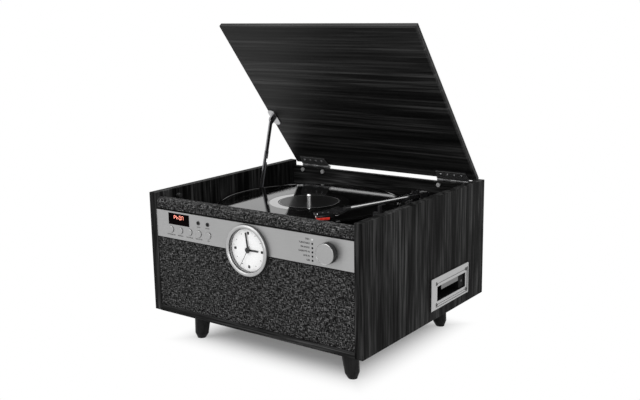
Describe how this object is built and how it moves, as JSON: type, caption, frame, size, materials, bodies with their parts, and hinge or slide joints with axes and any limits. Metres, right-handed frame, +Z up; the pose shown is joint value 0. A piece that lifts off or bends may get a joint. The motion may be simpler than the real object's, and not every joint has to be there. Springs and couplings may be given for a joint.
{
  "type": "record player",
  "caption": "Tabletop record player in a dark wooden cabinet on splayed feet, with hinged lid on a sliding stay, cloth front, round clock, control panel and side cassette slot.",
  "frame": {"origin": "on the floor under the middle of the cabinet", "axes": "+Z up; the front with clock and controls faces -Y; +X to the right seen from the front, towards the cassette slot"},
  "size_m": [0.4132, 0.3941, 0.5141],
  "materials": {
    "black_wood": "satin",
    "raw_wood": "matte",
    "tweed_cloth": "matte",
    "silver_panel": "satin",
    "silver_button": "satin",
    "display_black": "gloss",
    "circuit_board": "matte",
    "clear": "gloss",
    "dial_white": "matte",
    "hand_black": "satin",
    "black_plastic": "satin",
    "vinyl": "gloss",
    "black_rubber": "matte",
    "bare_aluminium": "satin",
    "bright_steel": "polished",
    "plain_steel": "satin",
    "dark_steel": "satin",
    "brass": "satin"
  },
  "bodies": {
    "cabinet": {"left_side_panel": "black_wood", "right_side_panel": "black_wood", "bottom_panel": "black_wood", "back_panel": "black_wood", "feet": "black_wood", "front_baffle": "raw_wood", "top_rail": "raw_wood", "deck_cleats": "raw_wood", "speaker_cloth": "tweed_cloth", "control_panel": "silver_panel", "clock_bezel": "silver_panel", "cassette_bezel": "silver_panel", "display_module": "display_black", "control_boards": "circuit_board", "clock_lens": "clear", "indicator_leds": "clear", "clock_dial": "dial_white", "clock_movement": "black_plastic", "front_jacks": "black_plastic", "deck_plate": "black_plastic", "tonearm_base": "black_plastic", "arm_rest": "black_plastic", "cassette_mechanism": "black_plastic", "rear_jack_plate": "black_plastic", "drive_belt": "black_rubber", "lid_bumpers": "black_rubber", "hinge_hardware": "bright_steel", "cassette_screws": "bright_steel", "cassette_carrier": "plain_steel", "motor": "plain_steel", "hinge_cabinet_leaves": "dark_steel", "speakers": "dark_steel", "spindle_bearing": "brass"},
    "lid": {"lid_board": "black_wood", "hinge_lid_leaves": "dark_steel", "stay_bracket": "plain_steel"},
    "stay": {"stay_arm": "dark_steel"},
    "stay_guide": {"stay_guide": "dark_steel"},
    "platter": {"platter": "bare_aluminium", "platter_mat": "black_rubber", "spindle": "bright_steel", "record": "vinyl"},
    "motor_pulley": {"motor_pulley": "brass"},
    "arm_yoke": {"arm_yoke": "black_plastic"},
    "tonearm": {"tonearm_tube": "bare_aluminium", "headshell": "black_plastic", "cartridge": "black_plastic"},
    "cue_lever": {"cue_lever": "black_plastic"},
    "rest_clip": {"rest_clip": "black_plastic"},
    "speed_selector": {"speed_selector": "black_plastic"},
    "volume_knob": {"volume_knob": "silver_panel"},
    "hour_hand": {"hour_hand": "hand_black"},
    "minute_hand": {"minute_hand": "hand_black"},
    "second_hand": {"second_hand": "hand_black"},
    "eject_button": {"eject_button": "black_plastic"},
    "button_1": {"button_1": "silver_button"},
    "button_2": {"button_2": "silver_button"},
    "button_3": {"button_3": "silver_button"},
    "button_4": {"button_4": "silver_button"},
    "button_5": {"button_5": "silver_button"}
  },
  "joints": [
    {"name": "lid_hinge", "type": "hinge", "parent": "cabinet", "child": "lid", "pos_m": [0, 0.1895, 0.2435], "axis": [1, 0, 0], "range_deg": [0, 51.5]},
    {"name": "stay_pivot", "type": "hinge", "parent": "lid", "child": "stay", "pos_m": [-0.18615, 0.10577, 0.33832], "axis": [1, 0, 0], "range_deg": [-25.75, 0]},
    {"name": "guide_swivel", "type": "hinge", "parent": "cabinet", "child": "stay_guide", "pos_m": [-0.18615, 0.06919, 0.20441], "axis": [1, 0, 0], "range_deg": [0, 25.75]},
    {"name": "platter_spin", "type": "hinge", "parent": "cabinet", "child": "platter", "pos_m": [-0.01806, -0.00648, 0.2206], "axis": [0, 0, -1], "continuous": true},
    {"name": "pulley_spin", "type": "hinge", "parent": "cabinet", "child": "motor_pulley", "pos_m": [-0.0778, 0.05326, 0.215], "axis": [0, 0, -1], "continuous": true},
    {"name": "arm_swing", "type": "hinge", "parent": "cabinet", "child": "arm_yoke", "pos_m": [0.13542, 0.09071, 0.2352], "axis": [0, 0, 1], "range_deg": [-25, 16.6]},
    {"name": "arm_lift", "type": "hinge", "parent": "arm_yoke", "child": "tonearm", "pos_m": [0.13542, 0.09071, 0.2352], "axis": [-0.9583, 0.2857, 0], "range_deg": [0, 1.4]},
    {"name": "cue_lift", "type": "hinge", "parent": "cabinet", "child": "cue_lever", "pos_m": [0.16142, 0.08071, 0.222], "axis": [-1, 0, 0], "range_deg": [0, 25.5]},
    {"name": "clip_turn", "type": "hinge", "parent": "cabinet", "child": "rest_clip", "pos_m": [0.14122, -0.04048, 0.242], "axis": [0, 0, 1], "range_deg": [0, 90]},
    {"name": "speed_slide", "type": "slide", "parent": "cabinet", "child": "speed_selector", "axis": [0, 1, 0], "range_m": [0, 0.016]},
    {"name": "knob_turn", "type": "hinge", "parent": "cabinet", "child": "volume_knob", "pos_m": [0.14899, -0.1853, 0.2038], "axis": [0, 1, 0], "range_deg": [-150, 150]},
    {"name": "button_1_press", "type": "slide", "parent": "cabinet", "child": "button_1", "axis": [0, 1, 0], "range_m": [0, 0.001], "stiffness_N_per_m": 1500},
    {"name": "button_2_press", "type": "slide", "parent": "cabinet", "child": "button_2", "axis": [0, 1, 0], "range_m": [0, 0.001], "stiffness_N_per_m": 1500},
    {"name": "button_3_press", "type": "slide", "parent": "cabinet", "child": "button_3", "axis": [0, 1, 0], "range_m": [0, 0.001], "stiffness_N_per_m": 1500},
    {"name": "button_4_press", "type": "slide", "parent": "cabinet", "child": "button_4", "axis": [0, 1, 0], "range_m": [0, 0.001], "stiffness_N_per_m": 1500},
    {"name": "button_5_press", "type": "slide", "parent": "cabinet", "child": "button_5", "axis": [0, 1, 0], "range_m": [0, 0.001], "stiffness_N_per_m": 1500},
    {"name": "second_turn", "type": "hinge", "parent": "cabinet", "child": "second_hand", "pos_m": [0, -0.1841, 0.185], "axis": [0, 1, 0], "continuous": true},
    {"name": "minute_turn", "type": "hinge", "parent": "cabinet", "child": "minute_hand", "pos_m": [0, -0.1841, 0.185], "axis": [0, 1, 0], "continuous": true},
    {"name": "hour_turn", "type": "hinge", "parent": "cabinet", "child": "hour_hand", "pos_m": [0, -0.1841, 0.185], "axis": [0, 1, 0], "continuous": true},
    {"name": "eject_press", "type": "slide", "parent": "cabinet", "child": "eject_button", "axis": [-1, 0, 0], "range_m": [0, 0.004], "stiffness_N_per_m": 1000}
  ],
  "couplings": [
    {"joint": "stay_pivot", "follows": "lid_hinge", "ratio": -0.5},
    {"joint": "guide_swivel", "follows": "lid_hinge", "ratio": 0.5},
    {"joint": "pulley_spin", "follows": "platter_spin", "ratio": 13.102},
    {"joint": "cue_lift", "follows": "arm_lift", "ratio": 17.857},
    {"joint": "minute_turn", "follows": "second_turn", "ratio": 0.016667},
    {"joint": "hour_turn", "follows": "second_turn", "ratio": 0.0013889}
  ]
}
